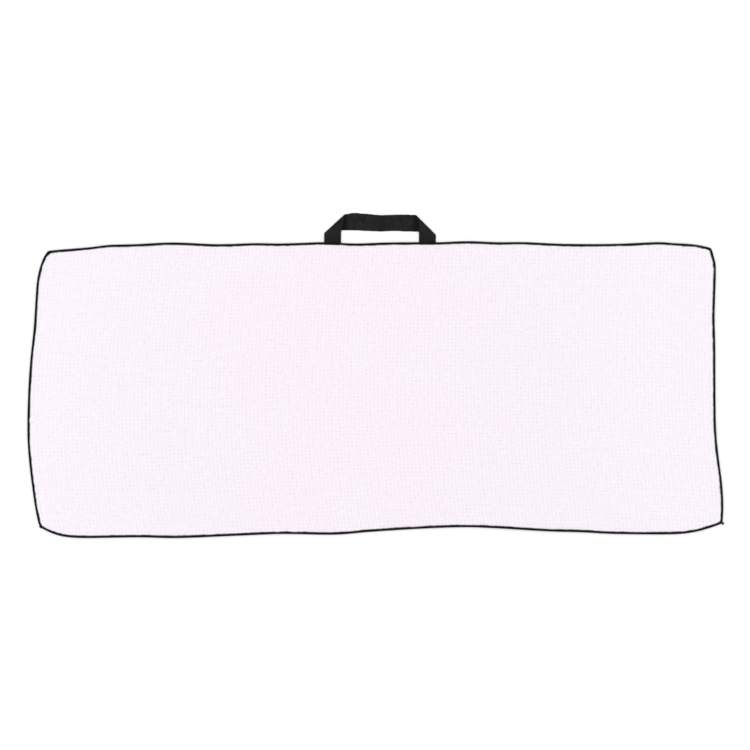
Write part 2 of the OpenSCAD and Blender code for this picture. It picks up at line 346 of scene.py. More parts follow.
class Look:
    """A fabric's material: its Principled shader, and short ways to add nodes before it."""

    def __init__(self, name, base, rough, sheen):
        self.material = bpy.data.materials.new(name)
        self.material.use_nodes = True
        self.tree = self.material.node_tree
        self.shader = self.tree.nodes["Principled BSDF"]
        self.set(self.shader, {"Base Color": (*base, 1), "Roughness": rough, "Specular IOR Level": SPECULAR,
                               "Sheen Weight": sheen, "Sheen Roughness": SHEEN_ROUGHNESS})

    def set(self, node, values):
        for key, value in values.items():
            socket = node.inputs[key]
            if isinstance(value, bpy.types.NodeSocket):
                self.tree.links.new(value, socket)
            else:
                socket.default_value = value

    def node(self, kind, values=None, **settings):
        made = self.tree.nodes.new(kind)
        for key, value in settings.items():
            setattr(made, key, value)
        self.set(made, values or {})
        return made

    def calc(self, operation, *values):
        return self.node("ShaderNodeMath", dict(enumerate(values)), operation=operation).outputs[0]

    def weave(self):
        """Place on the flat fabric, in metres."""
        return self.node("ShaderNodeUVMap", uv_map="weave").outputs["UV"]

    def place(self):
        return self.node("ShaderNodeTexCoord").outputs["Object"]

    def noise(self, where, size, detail=3.0):
        values = {"Vector": where, "Scale": 1 / size, "Detail": detail, "Roughness": NOISE_ROUGHNESS}
        return self.node("ShaderNodeTexNoise", values).outputs["Fac"]

    def pattern(self, where, size, detail, used, becomes):
        """Noise, with the used part of its range spread to another."""
        return self.spread(self.noise(where, size, detail), *used, *becomes)

    def between(self, amount, low, high):
        """A colour that goes from low to high."""
        values = {MIX_FACTOR: amount, MIX_A: low, MIX_B: high}
        mix = self.node("ShaderNodeMix", values, data_type="RGBA", clamp_factor=True)
        return mix.outputs[MIX_RESULT]

    def shade(self, colour, factor):
        return tuple(min(1, c * factor) for c in colour) + (1,)

    def times(self, colour, factor):
        values = {MIX_FACTOR: 1.0, MIX_A: colour, MIX_B: factor}
        mix = self.node("ShaderNodeMix", values, data_type="RGBA", blend_type="MULTIPLY")
        return mix.outputs[MIX_RESULT]

    def spread(self, value, low, high, to_low, to_high):
        values = {"Value": value, "From Min": low, "From Max": high, "To Min": to_low, "To Max": to_high}
        return self.node("ShaderNodeMapRange", values).outputs[0]

    def emboss(self, height, strength, depth):
        bump = self.node("ShaderNodeBump", {"Height": height, "Strength": strength, "Distance": depth})
        self.set(self.shader, {"Normal": bump.outputs[0]})

    def paint(self, colour):
        self.set(self.shader, {"Base Color": colour})


def cloth_material():
    look = Look("waffle_microfibre", CLOTH_COLOUR, rough=0.92, sheen=0.12)
    weave = look.weave()
    parts = look.node("ShaderNodeSeparateXYZ", {"Vector": weave})
    # The white is a touch pinker towards the middle of the towel's length
    away = look.calc("MULTIPLY", look.calc("ADD", parts.outputs[0], PINK_AT), 1 / PINK_REACH)
    near = look.calc("SUBTRACT", 1, look.calc("MULTIPLY", away, away))
    pink = look.calc("MULTIPLY", near, look.pattern(weave, *PINK_SHARE))
    colour = look.between(pink, look.shade(CLOTH_COLOUR, 1), look.shade(CLOTH_PINK, 1))
    # The ribs across the length and those along it: 1 on a rib, 0 halfway to the next
    phases = [look.calc("MULTIPLY", parts.outputs[k], TURN / PITCH[k]) for k in (0, 1)]
    across, along = (look.calc("MULTIPLY_ADD", look.calc("COSINE", phase), 0.5, 0.5) for phase in phases)
    # The cells are darker at the bottom: painted shade in their hollows. The ribs along the length are mostly
    # # darker than those across it, by an amount that varies in patches.
    pit_shade = look.calc("MULTIPLY", look.calc("SUBTRACT", 1, across), look.calc("SUBTRACT", 1, along))
    pit_shade = look.calc("MULTIPLY", pit_shade, look.pattern(weave, *PIT_SHADE_SHARE))
    long_rib_tone = look.calc("MULTIPLY", look.calc("SUBTRACT", along, 0.5), look.pattern(weave, *LONG_DARKER))
    darker = look.calc("MULTIPLY_ADD", pit_shade, PIT_PAINTED_SHADE, long_rib_tone)
    darker = look.calc("MULTIPLY_ADD", across, CROSS_DARKER, darker)
    # Beside the overlocked edge the cells are pressed flat, so the painted shade and the ribs' darkening fade
    # there
    standing = look.node("ShaderNodeAttribute", attribute_name="standing").outputs["Fac"]
    darker = look.calc("MULTIPLY", darker, standing)
    # Yarns across and along, under a fine pile
    waves = [look.calc("MULTIPLY", parts.outputs[k], TURN / YARN) for k in (0, 1)]
    yarns = look.calc("MAXIMUM", *(look.calc("SINE", wave) for wave in waves))
    pile = look.noise(weave, PILE)
    look.emboss(look.calc("MULTIPLY_ADD", pile, PILE_RELIEF, yarns), strength=0.35, depth=0.06 * MM)
    # Flecks: single tufts, fibres and yarns
    flecks = look.calc("MULTIPLY", look.pattern(weave, *TUFTS), look.pattern(weave, *FIBRES))
    flecks = look.calc("MULTIPLY", flecks, look.spread(yarns, -1, 1, *YARN_SHADES))
    look.paint(look.times(look.times(colour, look.calc("SUBTRACT", 1, darker)), flecks))
    return look.material


def thread_material():
    look = Look("black_thread", THREAD_COLOUR, rough=0.75, sheen=0.02)
    parts = look.node("ShaderNodeSeparateXYZ", {"Vector": look.weave()})
    # Plies wind round the thread: one turn of the section for each pitch along it
    turns = look.calc("MULTIPLY_ADD", parts.outputs[0], 1 / PLY_PITCH, parts.outputs[1])
    plies = look.calc("PINGPONG", turns, 0.5)
    fuzz = look.noise(look.place(), FUZZ, 2.0)
    look.emboss(look.calc("MULTIPLY_ADD", fuzz, FUZZ_RELIEF, plies), strength=0.6, depth=0.08 * MM)
    look.paint(look.between(fuzz, *(look.shade(THREAD_COLOUR, factor) for factor in THREAD_SHADES)))
    return look.material


def webbing_material():
    look = Look("black_webbing", WEBBING_COLOUR, rough=0.68, sheen=0.04)
    weave = look.weave()
    parts = look.node("ShaderNodeSeparateXYZ", {"Vector": weave})
    column = look.calc("MULTIPLY", parts.outputs[1], 1 / WARP_PITCH)
    # Each yarn dives under the picks half a repeat after its neighbour
    shift = look.calc("MULTIPLY", look.calc("FLOOR", column), 0.5)
    repeat = look.calc("MULTIPLY_ADD", parts.outputs[0], 1 / PICK_PITCH, shift)
    over = look.calc("MULTIPLY_ADD", look.calc("COSINE", look.calc("MULTIPLY", repeat, TURN)), 0.5, 0.5)
    ridge = look.calc("SINE", look.calc("MULTIPLY", look.calc("FRACT", column), TURN / 2))
    yarns = look.calc("MULTIPLY", ridge, look.calc("MULTIPLY_ADD", over, PICK_DIVE, 1 - PICK_DIVE))
    filaments = look.noise(weave, FILAMENT)
    look.emboss(look.calc("MULTIPLY_ADD", filaments, FILAMENT_RELIEF, yarns), strength=0.7, depth=0.16 * MM)
    # Dust and handling in patches and flecks a few yarns wide; the tops of the yarns are also drawn a little
    # paler
    patch, fleck = look.noise(look.place(), PATCH, 2.0), look.noise(weave, FLECK, 2.0)
    worn = look.calc("MULTIPLY_ADD", patch, PATCH_WEAR, fleck)
    worn = look.calc("ADD", worn, look.calc("MULTIPLY", yarns, YARN_TOP_PALER))
    clean_and_worn = (look.shade(WEBBING_COLOUR, factor) for factor in WEBBING_SHADES)
    colour = look.between(look.spread(worn, *WORN, 0, 1), *clean_and_worn)
    # Painted shade on the bar beside the legs' inner edges and in the crease where its top edge dips
    tucked = look.node("ShaderNodeAttribute", attribute_name="tucked").outputs["Fac"]
    look.paint(look.between(tucked, colour, look.shade(WEBBING_COLOUR, BAR_SHADE_LIGHTNESS)))
    return look.material


cloth_look, thread_look, webbing_look = cloth_material(), thread_material(), webbing_material()

# ------------------------------------------------------------------ where the rigid bodies meet

BLEND_BEFORE, BLEND_AFTER = 1 * MM, 9 * MM   # how far before and after a fold's axis the two points of fold_bend lie


def fold_bend(joint, outward):
    """The bodies, and two points before and after the axis, of a fold whose wing lies towards outward."""
    j = JOINTS[joint]
    x, _, z = j["pos_m"]
    return j["parent"], j["child"], (x - outward * BLEND_BEFORE, 0, z), (x + outward * BLEND_AFTER, 0, z)


LEFT_BEND, RIGHT_BEND = fold_bend("left_fold", -1), fold_bend("right_fold", 1)
FOLD_X = {-1: JOINTS["left_fold"]["pos_m"][0], 1: JOINTS["right_fold"]["pos_m"][0]}
SPLIT_INSIDE = 8 * MM    # how far past its fold, towards the centre, a wing's pieces reach
SPLIT_X = {side: FOLD_X[side] - side * SPLIT_INSIDE for side in (-1, 1)}

# ------------------------------------------------------------------ the waffle sheet

GENTLE = 0.93         # past this share of a side the rounding of its corner begins
GENTLE_DEGREE = 3     # degree of the curve that follows the rest of it


def side_curve(bow):
    """The gentle part of a side's bow, as a function of the place along it."""
    kept = [(s, b) for s, b in bow if abs(s) < GENTLE]
    fit = np.polyfit(*zip(*kept), GENTLE_DEGREE)
    return lambda s: np.polyval(fit, s) * MM


def sheet_plan(flat):
    """Where points of the flat cut lie: its rows and columns follow the gentle bow of the four sides."""
    s, t = flat[:, 0] / (LENGTH / 2), flat[:, 1] / (WIDTH / 2)
    top, bottom, left, right = (side_curve(b) for b in (TOP_BOW, BOTTOM_BOW, LEFT_BOW, RIGHT_BOW))
    x_left, x_right = -LENGTH / 2 - left(t), LENGTH / 2 + right(t)
    y_low, y_high = -WIDTH / 2 - bottom(s), WIDTH / 2 + top(s)
    x = (x_left * (1 - s) + x_right * (1 + s)) / 2
    y = (y_low * (1 - t) + y_high * (1 + t)) / 2
    return np.stack([x, y], axis=1) + CENTRE


RIM_INSET = 0.45 * MM    # the cut edge lies this far inside the outside of the thread
HALO = 2.6 * MM          # inside the band the weave takes this far to stand up again
SPARE_CELLS = 4          # cells laid out past each side before the trim
TRIM_REACH = 0.6 * MM    # points less than this inside the cut edge are moved out to it
RIB_SHARP = 1.1          # how narrow the ribs are
LONG_RIBS = 0.9          # height of the ribs along the length, next to those across it
HIGHER_RIB, BOTH_RIBS = 0.7, 0.15    # how much the higher rib counts at each place, and how much their sum


def rib(phase):
    return (0.5 + 0.5 * np.cos(TURN * phase)) ** RIB_SHARP


def waffle_sheet():
    """The whole towel, trimmed to the laid edge: its points, front and then back, the front's quads, each
    point's place on the flat cut, its attributes, the front points' columns, and their number."""
    cols = np.arange(-SPARE_CELLS * PER_CELL, (CELLS[0] + SPARE_CELLS) * PER_CELL + 1)
    rows = np.arange(-SPARE_CELLS * PER_CELL, (CELLS[1] + SPARE_CELLS) * PER_CELL + 1)
    c, r = np.meshgrid(cols, rows)
    flat = np.column_stack([c.ravel(), r.ravel()]) * PITCH / PER_CELL - np.array([LENGTH, WIDTH]) / 2
    plan = sheet_plan(flat)
    inside, near = edge_distance(plan)
    out = inside < RIM_INSET + TRIM_REACH
    quads = grid_quads(len(rows), len(cols))
    quads = quads[~out[quads].all(axis=1)]
    plan[out] = EDGE[near[out]] + EDGE_IN[near[out]] * RIM_INSET
    inside[out] = RIM_INSET
    full = smoothstep((inside - BAND_W) / HALO)
    hx, hy = rib(flat[:, 0] / PITCH[0]), rib(flat[:, 1] / PITCH[1])
    relief = HIGHER_RIB * np.maximum(hx, LONG_RIBS * hy) + BOTH_RIBS * (hx + hy)
    relief = 1 - (1 - relief) * full
    up = rise(plan)
    front = up + CLOTH_T - RIM_DROP * (1 - full) - FRONT_DEPTH * (1 - relief)
    back = up + RIM_DROP * (1 - full) + BACK_DEPTH * (1 - relief)
    used = np.unique(quads)
    index = np.full(len(plan), -1)
    index[used] = np.arange(len(used))
    points = np.concatenate([np.column_stack([plan[used], face[used]]) for face in (front, back)])
    attributes = {"standing": np.tile(full[used], 2)}
    return points, index[quads], np.tile(flat[used], (2, 1)), attributes, c.ravel()[used], len(used)


def point_normals(points, quads):
    """The smooth normal at each point."""
    a, b, c, d = (points[quads[:, k]] for k in range(4))
    face = np.cross(c - a, d - b)
    normals = np.zeros_like(points)
    for k in range(4):
        np.add.at(normals, quads[:, k], face)
    return unit(normals)


def with_walls(quads, n):
    """Front quads, the same on the back turned over, and walls along their shared border."""
    edges = np.concatenate([quads[:, [k, (k + 1) % 4]] for k in range(4)])
    edges = edges[edges[:, 0] != edges[:, 1]]
    key = np.sort(edges, axis=1)
    _, first, count = np.unique(key[:, 0] * (n + 1) + key[:, 1], return_index=True, return_counts=True)
    border = edges[first[count == 1]]
    walls = np.stack([border[:, 1], border[:, 0], border[:, 0] + n, border[:, 1] + n], axis=1)
    return np.concatenate([quads, quads[:, ::-1] + n, walls])


def build_cloth():
    """For each CAD node of the cloth, the piece that stands for it, and how many cells long that is."""
    points, quads, flat, attributes, column, n = waffle_sheet()
    normals = point_normals(points, np.concatenate([quads, quads[:, ::-1] + n]))
    # Each split follows one column of the weave, wholly on the centre's side of its fold
    front_x = points[:n, 0]
    columns = np.unique(column)
    split_left = min(c for c in columns if front_x[column == c].min() > SPLIT_X[-1])
    split_right = max(c for c in columns if front_x[column == c].max() < SPLIT_X[1])
    quad_column = column[quads].min(axis=1)
    shares = {
        "cloth_left": (quad_column < split_left, LEFT_BEND),
        "cloth_centre": ((quad_column >= split_left) & (quad_column < split_right), LEFT_BEND[0]),
        "cloth_right": (quad_column >= split_right, RIGHT_BEND),
    }
    made = {}
    for name, (mask, body) in shares.items():
        part = quads[mask]
        used = np.unique(part)
        index = np.full(n, -1)
        index[used] = np.arange(len(used))
        both = np.concatenate([used, used + n])
        piece = new_piece(f"{name}_waffle", points[both], with_walls(index[part], len(used)), uv=flat[both],
                          attributes={key: values[both] for key, values in attributes.items()},
                          normals=normals[both])
        finish_piece(piece, body, cloth_look, [name])
        made[name] = (piece, float(column[used].max() - column[used].min()) / PER_CELL)
    return made


cloth = build_cloth()

# ------------------------------------------------------------------ the overlocked edge

STITCH = 3.15 * MM
STITCHES = round(EDGE_LENGTH / STITCH)
STITCH_LENGTH = EDGE_LENGTH / STITCHES
THREAD_SIDES = 6                               # sides of a thread's section in the mesh
LOOPER_W, LOOPER_H = 1.22 * MM, 0.46 * MM      # section of the fluffy looper threads
NEEDLE_W, NEEDLE_H = 0.50 * MM, 0.36 * MM      # section of the needle thread
NEEDLE_IN = 3.15 * MM                          # the needle's line, from the outside of the thread
# One stitch of the upper looper: (place along it, distance from the edge in mm, height in mm, how far its
# flat side faces out of the edge, from 0 to 1)
UPPER_STITCH = [
    (0.00, 3.88, 2.22, 0.0), (0.10, 3.40, 2.36, 0.0), (0.22, 2.30, 2.38, 0.0), (0.34, 1.15, 2.38, 0.0),
    (0.43, 0.35, 2.24, 0.5), (0.47, 0.07, 1.75, 1.0), (0.50, 0.06, 1.25, 1.0), (0.53, 0.07, 1.75, 1.0),
    (0.57, 0.35, 2.24, 0.5), (0.66, 1.15, 2.38, 0.0), (0.78, 2.30, 2.38, 0.0), (0.90, 3.40, 2.36, 0.0),
]
# The same for the lower looper, whose loops lie half a stitch further on
LOWER_STITCH = [
    (0.00, 2.60, 0.24, 0.0), (0.20, 2.00, 0.22, 0.0), (0.33, 1.20, 0.22, 0.0), (0.42, 0.40, 0.32, 0.5),
    (0.47, 0.07, 0.75, 1.0), (0.50, 0.06, 1.20, 1.0), (0.53, 0.07, 0.75, 1.0), (0.58, 0.40, 0.32, 0.5),
    (0.67, 1.20, 0.22, 0.0), (0.80, 2.00, 0.22, 0.0),
]
# The needle thread: a stitch on top, and a small loop under the cloth where it catches the lower looper, as
# (place along the stitch, offset across it in mm, height in mm)
NEEDLE_TOP = [
    (0.02, 0, 2.05), (0.12, 0, 2.42), (0.3, 0, 2.48), (0.5, 0, 2.50), (0.7, 0, 2.48), (0.88, 0, 2.42),
    (0.98, 0, 2.05),
]
NEEDLE_UNDER = [(-0.10, 0.10, 0.35), (-0.06, -0.25, 0.20), (0.06, -0.25, 0.20), (0.10, 0.10, 0.35)]
# The padding of thread under the loops: (distance from the edge in mm, height in mm), from the inner side
# of the front, over the cut edge, to the inner side of the back
PADDING = [
    (3.28, 2.04), (3.03, 2.24), (0.6, 2.28), (0.25, 2.20), (0.09, 1.85), (0.08, 1.2), (0.09, 0.6),
    (0.25, 0.24), (0.6, 0.16), (2.4, 0.16), (2.7, 0.32),
]
PADDING_STEPS = 6                   # its steps to a stitch
TOOTHED_ROWS = 2                    # how many of its rows follow the stitches' inner ends
POINTED, RIB_PULL = 0.5, 0.25       # how far these stand out at each stitch, and at each rib, in mm
# How the stitches' inner ends stray: slow drifts as (mm, length of one wave), and chance, in mm
STRAY_WAVES = [(0.07, 122 * MM), (0.07, 68 * MM), (0.08, 42 * MM), (0.08, 26 * MM)]
STRAY_CHANCE = 0.26
# Where the sewing starts and ends the stitches overlap: how much further in they come there, in mm, and over
# what length
START_STRAY, START_REACH = 1.3, 3.5 * MM
# How far the loops stray along the edge, as a share of a stitch, and how far their heights and the
# needle's line stray, in mm
LOOP_JITTER, HEIGHT_JITTER, NEEDLE_JITTER = 0.05, 0.03, 0.04
STRAY_SEED, THREAD_SEED = 11, 7


def edge_path(along, inset, height):
    """Points at places along the edge, at insets from it and at heights over the cloth's underside."""
    plan = on_edge(along, inset)
    return np.column_stack([plan, rise(plan) + height])


def edge_index(along):
    return (np.asarray(along) / EDGE_LENGTH * len(EDGE)).astype(int) % len(EDGE)


def strays():
    """How far past the usual place each stitch's inner end is, in mm."""
    rng = np.random.default_rng(STRAY_SEED)
    along = np.arange(STITCHES) * STITCH_LENGTH
    waves = sum(h * np.sin(TURN * (along / length + rng.random())) for h, length in STRAY_WAVES)
    # The sewing started at the top left corner, where the first and last stitches overlap
    from_start = np.minimum(along, EDGE_LENGTH - along)
    overlap = START_STRAY * np.exp(-((from_start / START_REACH) ** 2))
    return waves + overlap + rng.normal(0, STRAY_CHANCE, STITCHES)


def stray_of(numbers):
    return STRAYS[numbers % STITCHES]


STRAYS = strays()


def run_of_loops(first, last, stitch, shift, rng):
    """The looper thread of stitches first to last, as one tube."""
    table = np.array(stitch)
    numbers = np.arange(first, last)
    jitter_l = rng.normal(0, LOOP_JITTER, (len(numbers), 1)) * (1 - np.abs(2 * table[:, 0] - 1))
    jitter_d = stray_of(numbers)[:, None] * (table[:, 1] / table[:, 1].max()) ** 2
    jitter_z = rng.normal(0, HEIGHT_JITTER, (len(numbers), len(table))) * (table[:, 3] == 0)
    along = (numbers[:, None] + shift + table[:, 0] + jitter_l).ravel() * STITCH_LENGTH
    inset = (table[:, 1] + jitter_d).ravel() * MM
    height = (table[:, 2] + jitter_z).ravel() * MM
    path = edge_path(along, inset, height)
    facing = np.tile(table[:, 3], len(numbers))[:, None]
    out = -EDGE_IN[edge_index(along)]
    up = np.column_stack([out * facing, 1 - facing])
    return tube(path, LOOPER_W, LOOPER_H, THREAD_SIDES, up)


def run_of_padding(first, last):
    """The ribbon of thread under the loops, round the cloth's cut edge, with a tooth at each stitch."""
    table = np.array(PADDING) * MM
    number = np.arange(first * PADDING_STEPS, last * PADDING_STEPS + 1) / PADDING_STEPS
    along = number * STITCH_LENGTH
    low = np.floor(number).astype(int)
    stray = stray_of(low) + (stray_of(low + 1) - stray_of(low)) * (number - low)
    stray += POINTED * np.cos(TURN * number) + RIB_PULL * np.cos(TURN * along / PITCH[0])
    rows = [
        edge_path(along, d + stray * MM * (k < TOOTHED_ROWS), np.full(len(along), z))
        for k, (d, z) in enumerate(table)
    ]
    points = np.stack(rows, axis=1)
    n, m = points.shape[:2]
    across = np.concatenate([[0], np.cumsum(np.linalg.norm(np.diff(table, axis=0), axis=1))])
    uv = np.stack([np.tile(across, n), np.repeat(along, m)], axis=1)
    return points.reshape(-1, 3), grid_quads(n, m), uv


def run_of_needle(first, last, rng):
    """The needle thread of stitches first to last: for each, a tube on top and one underneath."""
    parts = []
    for number in range(first, last):
        inset = NEEDLE_IN + (stray_of(number) + rng.normal(0, NEEDLE_JITTER)) * MM
        for table in (np.array(NEEDLE_TOP), np.array(NEEDLE_UNDER)):
            along = (number + table[:, 0]) * STITCH_LENGTH
            path = edge_path(along, inset + table[:, 1] * MM, table[:, 2] * MM)
            parts.append(tube(path, NEEDLE_W, NEEDLE_H, THREAD_SIDES))
    return parts


def split_places(split_x):
    """The stitches at which the edge crosses x, from the top side and from the bottom side."""
    x, y = on_edge(np.arange(STITCHES) * STITCH_LENGTH, np.zeros(STITCHES)).T
    near = np.abs(x - split_x)
    return [int(np.argmin(np.where(side * y > 0, near, 1))) for side in (1, -1)]


def build_overlock():
    rng = np.random.default_rng(THREAD_SEED)
    top_left, bottom_left = split_places(SPLIT_X[-1])
    top_right, bottom_right = split_places(SPLIT_X[1])
    runs = {
        "top": (top_left, top_right, LEFT_BEND[0]),
        "right": (top_right, bottom_right, RIGHT_BEND),
        "bottom": (bottom_right, bottom_left, LEFT_BEND[0]),
        "left": (bottom_left, top_left + STITCHES, LEFT_BEND),
    }
    for run, (first, last, body) in runs.items():
        upper = run_of_loops(first, last, UPPER_STITCH, 0, rng)
        lower = run_of_loops(first, last, LOWER_STITCH, 0.5, rng)
        put([upper, run_of_padding(first, last)], f"edge_loops_upper_{run}", body, thread_look,
            [f"upper_looper_{run}"])
        put([lower], f"edge_loops_lower_{run}", body, thread_look, [f"lower_looper_{run}"])
        put(run_of_needle(first, last, rng), f"needle_stitches_{run}", body, thread_look,
            [f"needle_thread_{run}"])


build_overlock()

# ------------------------------------------------------------------ knots and bar tacks

KNOT_R = 0.56 * MM        # a knot's loops reach three times as far
KNOT_THREAD = 1.1 * MM    # the chained-off threads, pulled together
KNOT_BALL = 1.4 * MM      # the knot fills a ball of this radius
KNOT_END = 2.0 * MM       # how far the cut end stands out from the knot's middle
KNOT_Z = 1.45 * MM        # height of its middle
KNOT_FLAT = 0.6           # its loops' height next to their width
KNOT_UP = (0.1, 0.2, 1)   # a direction that its loops never run along
KNOT_POINTS, KNOT_SIDES = 49, 8      # of the mesh, along the loops and round the thread
KNOT_LEAD = (1.2 * MM, 2.6 * MM)     # places along the end that goes into the band
CUT_END = (0.8, 0.7)                 # width and height of the cut end, next to the thread's
CUT_CURL, CUT_DROOP = 0.5 * MM, 0.15   # how far the cut end curls to one side, and how steeply it hangs
# Where each cut end points, in degrees round from +X, and the direction down the sheet
CUT_TOWARD = {"left": 250, "right": 300}
DOWN_SHEET = 270
TACK_PITCH = 0.45 * MM
TACK_INSETS = 0.75 * MM, 4.1 * MM    # where the zigzag turns, from the outside of the thread
TACK_SPARE = 1.5 * MM                # how far the zigzag goes on past each side of the webbing
TACK_Z, TACK_BULGE = 2.55 * MM, 0.16 * MM    # height of its thread, and how far that bulges up
TACK_W, TACK_H = 0.42 * MM, 0.36 * MM        # section of its thread


def knot_parts(box, toward):
    """An overhand knot where the CAD's ball is, with its two ends: into the band, and cut short outside."""
    low, high = box
    # The box holds the ball and the cut end, which leaves it down the sheet
    ball_x = high.x - KNOT_BALL if toward < DOWN_SHEET else low.x + KNOT_BALL
    middle = np.array([ball_x, high.y - KNOT_BALL, KNOT_Z])
    t = np.linspace(0, TURN, KNOT_POINTS)
    trefoil = [np.sin(t) + 2 * np.sin(2 * t), np.cos(t) - 2 * np.cos(2 * t), -1.2 * np.sin(3 * t)]
    loops = middle + np.column_stack(trefoil) * KNOT_R * (1, 1, KNOT_FLAT)
    angle = math.radians(toward)
    out = np.array([math.cos(angle), math.sin(angle), -CUT_DROOP])
    side = np.array([-out[1], out[0], 0])
    cut = [middle + out * KNOT_END * k + side * CUT_CURL * math.sin(3 * k) for k in (0, 0.3, 0.6, 0.85, 1)]
    lead = [middle, *(middle - out * distance for distance in KNOT_LEAD)]
    return [
        tube(loops, KNOT_THREAD, KNOT_THREAD, KNOT_SIDES, KNOT_UP),
        tube(cut, KNOT_THREAD * CUT_END[0], KNOT_THREAD * CUT_END[1], KNOT_SIDES),
        tube(lead, KNOT_THREAD, KNOT_THREAD, KNOT_SIDES),
    ]


def tack_parts(box):
    """Zigzag stitches packed side by side across the band, between the box's two ends."""
    low, high = box
    near = np.argmin(np.hypot(EDGE[:, 0] - low.x, EDGE[:, 1] - high.y))
    start = near * EDGE_LENGTH / len(EDGE) - TACK_SPARE
    turns = np.arange(round((high.x - low.x + 2 * TACK_SPARE) / TACK_PITCH) + 1)
    inset = np.where(turns % 2, *TACK_INSETS)
    ends = edge_path(start + turns * TACK_PITCH, inset, np.full(len(turns), TACK_Z))
    bulge = np.array([0, 0, TACK_BULGE])
    parts = []
    for a, b in zip(ends[:-1], ends[1:]):
        path = [a - 1.5 * bulge, a + (b - a) * 0.15 + bulge, a + (b - a) * 0.85 + bulge, b - 1.5 * bulge]
        parts.append(tube(path, TACK_W, TACK_H, THREAD_SIDES))
    return parts


for side, toward in CUT_TOWARD.items():
    put(knot_parts(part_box(f"thread_knot_{side}"), toward), f"knotted_end_{side}",
        JOINTS[f"{side}_fold"]["child"], thread_look, [f"thread_knot_{side}"])
for side in ("left", "right"):
    put(tack_parts(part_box(f"bar_tack_{side}")), f"tack_stitches_{side}", LEFT_BEND[0],
        thread_look, [f"bar_tack_{side}"])

# ------------------------------------------------------------------ the webbing of the hang loop

# The webbing's flat strip runs up the left leg, along the bar and down the right leg.
# A folded corner is a half turn round an axis just inside the crease.
WEB_W = TAILS[0][1].x - TAILS[0][0].x
LEFT_X = (TAILS[0][0].x + TAILS[0][1].x) / 2
RIGHT_X = (TAILS[1][0].x + TAILS[1][1].x) / 2
TAIL_Y = TAILS[0][0].y
BAR_STRAY = 0.75 * MM                  # how far the CAD's bar makes room for its top edge to stray
BAR_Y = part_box("strap_bar")[1].y - BAR_STRAY - WEB_W / 2    # middle of the bar before its edges stray
WEB_TOTAL = 2 * (BAR_Y - TAIL_Y) + RIGHT_X - LEFT_X
TOP_MID = LAYER_Z + WEBBING_T / 2
LOW_MID = WEBBING_T / 2
FOLD_R = (TOP_MID - LOW_MID) / 2
FOLD_IN = FOLD_R + WEBBING_T / 2       # the fold's axis lies this far inside the crease
WEB_STEP = 0.42 * MM
# Between these two places in Y the legs come down to the floor
RAMP = (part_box("strap_leg_left")[0].y + 0.4 * MM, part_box("strap_leg_left")[0].y + 7.5 * MM)
# The bar's edges stray from straight: (place along X in mm, how far towards +Y in mm)
BAR_TOP = [
    (-60, 0.6), (-46, 0.7), (-38, 1.5), (-28, 1.55), (-20, 0.55), (-14, 0.35), (-6, -0.4), (0, -1.2),
    (8, -1.8), (22, -1.3), (34, -1.05), (43, -0.75), (50, -0.4), (58, -0.9), (90, -1.3),
]
BAR_LOW = [
    (-60, 0.85), (-40, 0.9), (-28, 0.8), (-14, 0), (0, -0.55), (8, -0.9), (16, -0.45), (28, -0.1),
    (34, -0.15), (43, -0.8), (52, -0.85), (62, -1.2), (90, -1.2),
]
ONTO_BAR = 14 * MM       # these strays grow over this length past a crease
# How far the two ends of each crease stray from a true 45 degree fold, outer end first, and how far down
# the leg that dies away, in mm
CREASE_LEFT = ((0, -3.35), (5.6, -0.35)), 27
CREASE_RIGHT = ((0.2, -6.0), (-4.5, -1.35)), 14
STRAY_BAR = 26 * MM
# Painted shade on the bar beside each leg's inner edge, where the leg lies over it: how far it reaches from
# the leg at the bar's low edge and at its top edge, in mm, and the share of that before it fades
LEG_SHADE_LEFT, LEG_SHADE_RIGHT = (13, 9.5, 0.5), (15, 12, 0.3)
# The soft crease across the bar where its top edge dips: its place, the width and strength of its painted
# shade, and how far and how widely the bar stands off the floor there
DIP_X, DIP_SHADE_W, DIP_PAINTED_SHADE = 8 * MM, 5 * MM, 0.35
DIP_RISE, DIP_RISE_W = 0.5 * MM, 7 * MM
SELVEDGE, SELVEDGE_THIN = 0.6 * MM, 0.35     # width of the rounded selvedge, and how thick its edge is
LOOP_BEND = (-1 * MM, 6.6 * MM)              # places before and after the hinge's axis, passed along with the webbing's bodies


def soft_line(table, x):
    """The table's value at x, eased between its entries."""
    xs, ys = np.array(table).T
    k = np.clip(np.searchsorted(xs, x / MM) - 1, 0, len(xs) - 2)
    return (ys[k] + (ys[k + 1] - ys[k]) * smoothstep((x / MM - xs[k]) / (xs[k + 1] - xs[k]))) * MM


def turned_over(u):
    """Offset past a fold's axis and height, for webbing laid u past that axis before it is folded under."""
    angle = math.pi * np.clip(u / (2 * FOLD_IN), 0, 1)
    offset = np.where(u < 0, u, np.where(u > 2 * FOLD_IN, 2 * FOLD_IN - u, FOLD_R * np.sin(angle)))
    return offset, TOP_MID - FOLD_R * (1 - np.cos(angle))


